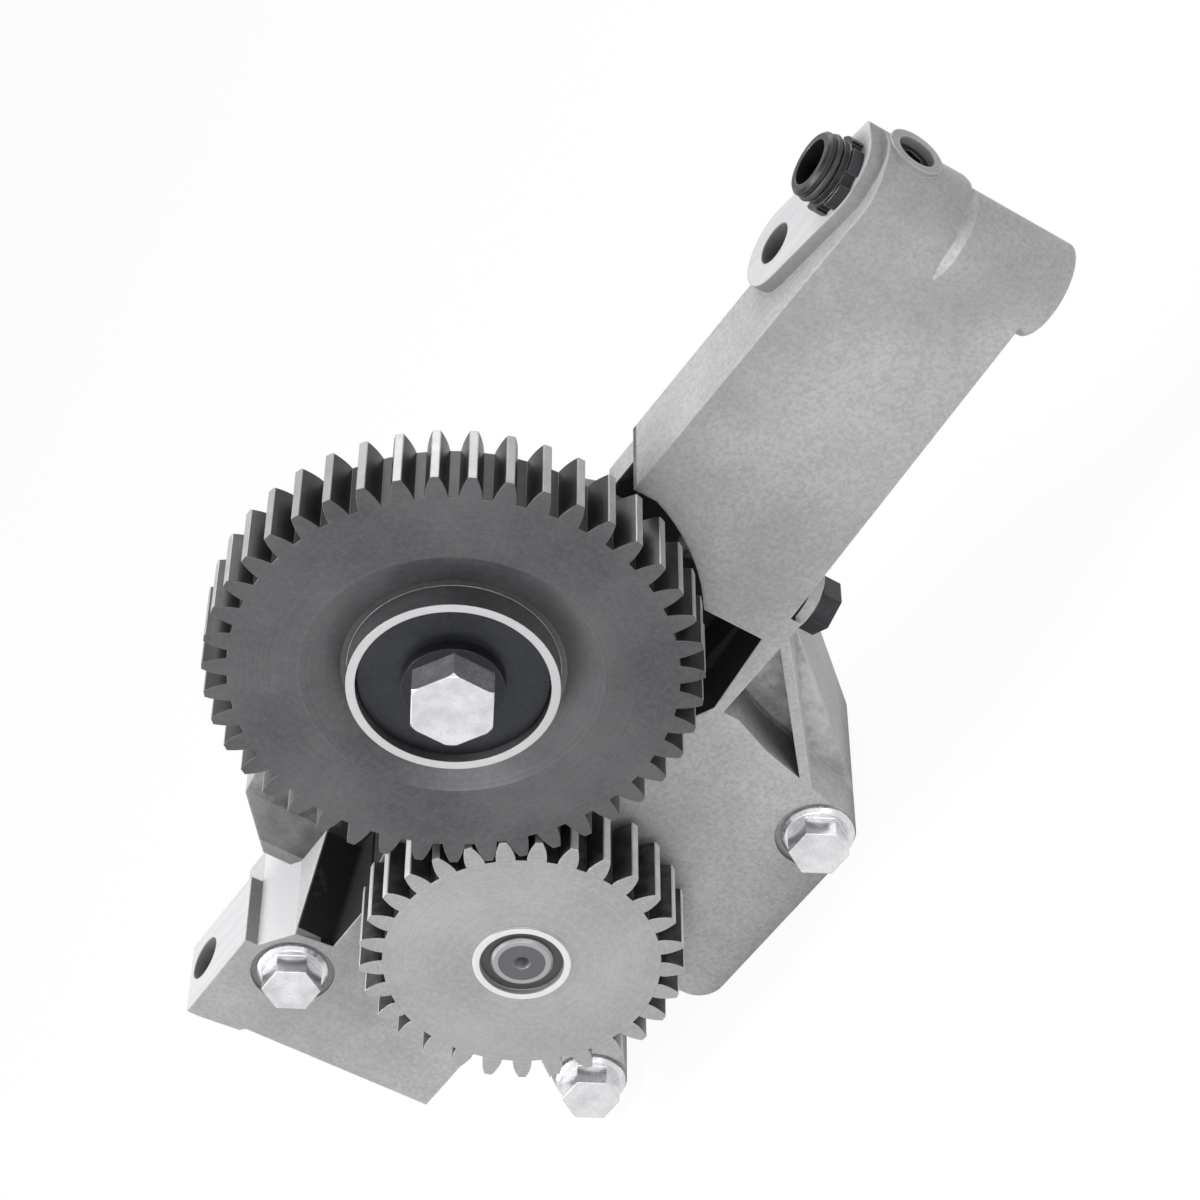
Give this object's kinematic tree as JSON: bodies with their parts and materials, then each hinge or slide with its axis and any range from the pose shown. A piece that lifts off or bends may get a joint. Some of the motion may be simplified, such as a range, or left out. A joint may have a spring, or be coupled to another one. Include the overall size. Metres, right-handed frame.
{
  "type": "engine oil pump",
  "caption": "Engine oil pump: cast bracket with a large idler gear that drives the pump shaft gear, long outlet arm and mounting pads.",
  "frame": {"origin": "centre of the near mounting hole, on the machined mounting face", "axes": "+X along the mounting face towards the outlet end of the arm, +Y from the gears towards the rear cover, +Z out of the mounting face towards the engine block"},
  "size_m": [0.354, 0.1104, 0.2077],
  "materials": {
    "cast_aluminium": "fine sand-cast, bead blasted",
    "machined_aluminium": "cast with machined faces",
    "dark_gear_steel": "oiled dark steel, hobbed teeth",
    "bronze": "turned bearing bronze",
    "ground_steel": "ground",
    "black_steel": "black oxide",
    "zinc_steel": "bright zinc plated",
    "light_gear_steel": "ground steel",
    "seal_rubber": "smooth",
    "spring_steel": "drawn wire",
    "copper_washer": "soft annealed"
  },
  "bodies": {
    "pump": {"pump_bracket": "cast_aluminium", "rear_cover": "machined_aluminium", "idler_journal": "ground_steel", "idler_thrust_plate": "black_steel", "idler_collar": "black_steel", "idler_bolt": "zinc_steel", "rotor_axle": "ground_steel", "front_shaft_bush": "bronze", "rear_shaft_bush": "bronze", "cover_bolts": "zinc_steel", "upper_cover_bolt": "zinc_steel", "locating_dowels": "ground_steel", "outlet_sleeve": "black_steel", "outlet_seal_ring": "seal_rubber", "suction_seal_ring": "seal_rubber", "gallery_plug": "black_steel", "relief_spring": "spring_steel", "relief_plug": "black_steel", "relief_plug_washer": "copper_washer"},
    "idler": {"idler_gear": "dark_gear_steel", "idler_bush": "bronze"},
    "shaft_assembly": {"drive_shaft": "ground_steel", "shaft_gear": "light_gear_steel", "shaft_thrust_ring": "bronze", "drive_rotor": "ground_steel"},
    "driven_rotor_assembly": {"driven_rotor": "ground_steel", "rotor_bush": "bronze"},
    "relief_valve": {"relief_piston": "ground_steel"}
  },
  "joints": [
    {"name": "idler_spin", "type": "hinge", "parent": "pump", "child": "idler", "pos_m": [0.16366, -0.0301, 0.01227], "axis": [0, 1, 0], "continuous": true},
    {"name": "shaft_spin", "type": "hinge", "parent": "pump", "child": "shaft_assembly", "pos_m": [0.0834, -0.0001, -0.06], "axis": [0, 1, 0], "continuous": true},
    {"name": "driven_rotor_spin", "type": "hinge", "parent": "pump", "child": "driven_rotor_assembly", "pos_m": [0.11168, 0.0109, -0.09371], "axis": [0, 1, 0], "continuous": true},
    {"name": "relief_slide", "type": "slide", "parent": "pump", "child": "relief_valve", "axis": [0, 0, -1], "range_m": [0, 0.006], "stiffness_N_per_m": 9300, "springref_m": -0.0038, "deforming": ["relief_spring"]}
  ],
  "couplings": [
    {"joint": "shaft_spin", "follows": "idler_spin", "ratio": -1.4828},
    {"joint": "driven_rotor_spin", "follows": "idler_spin", "ratio": 1.4828}
  ]
}
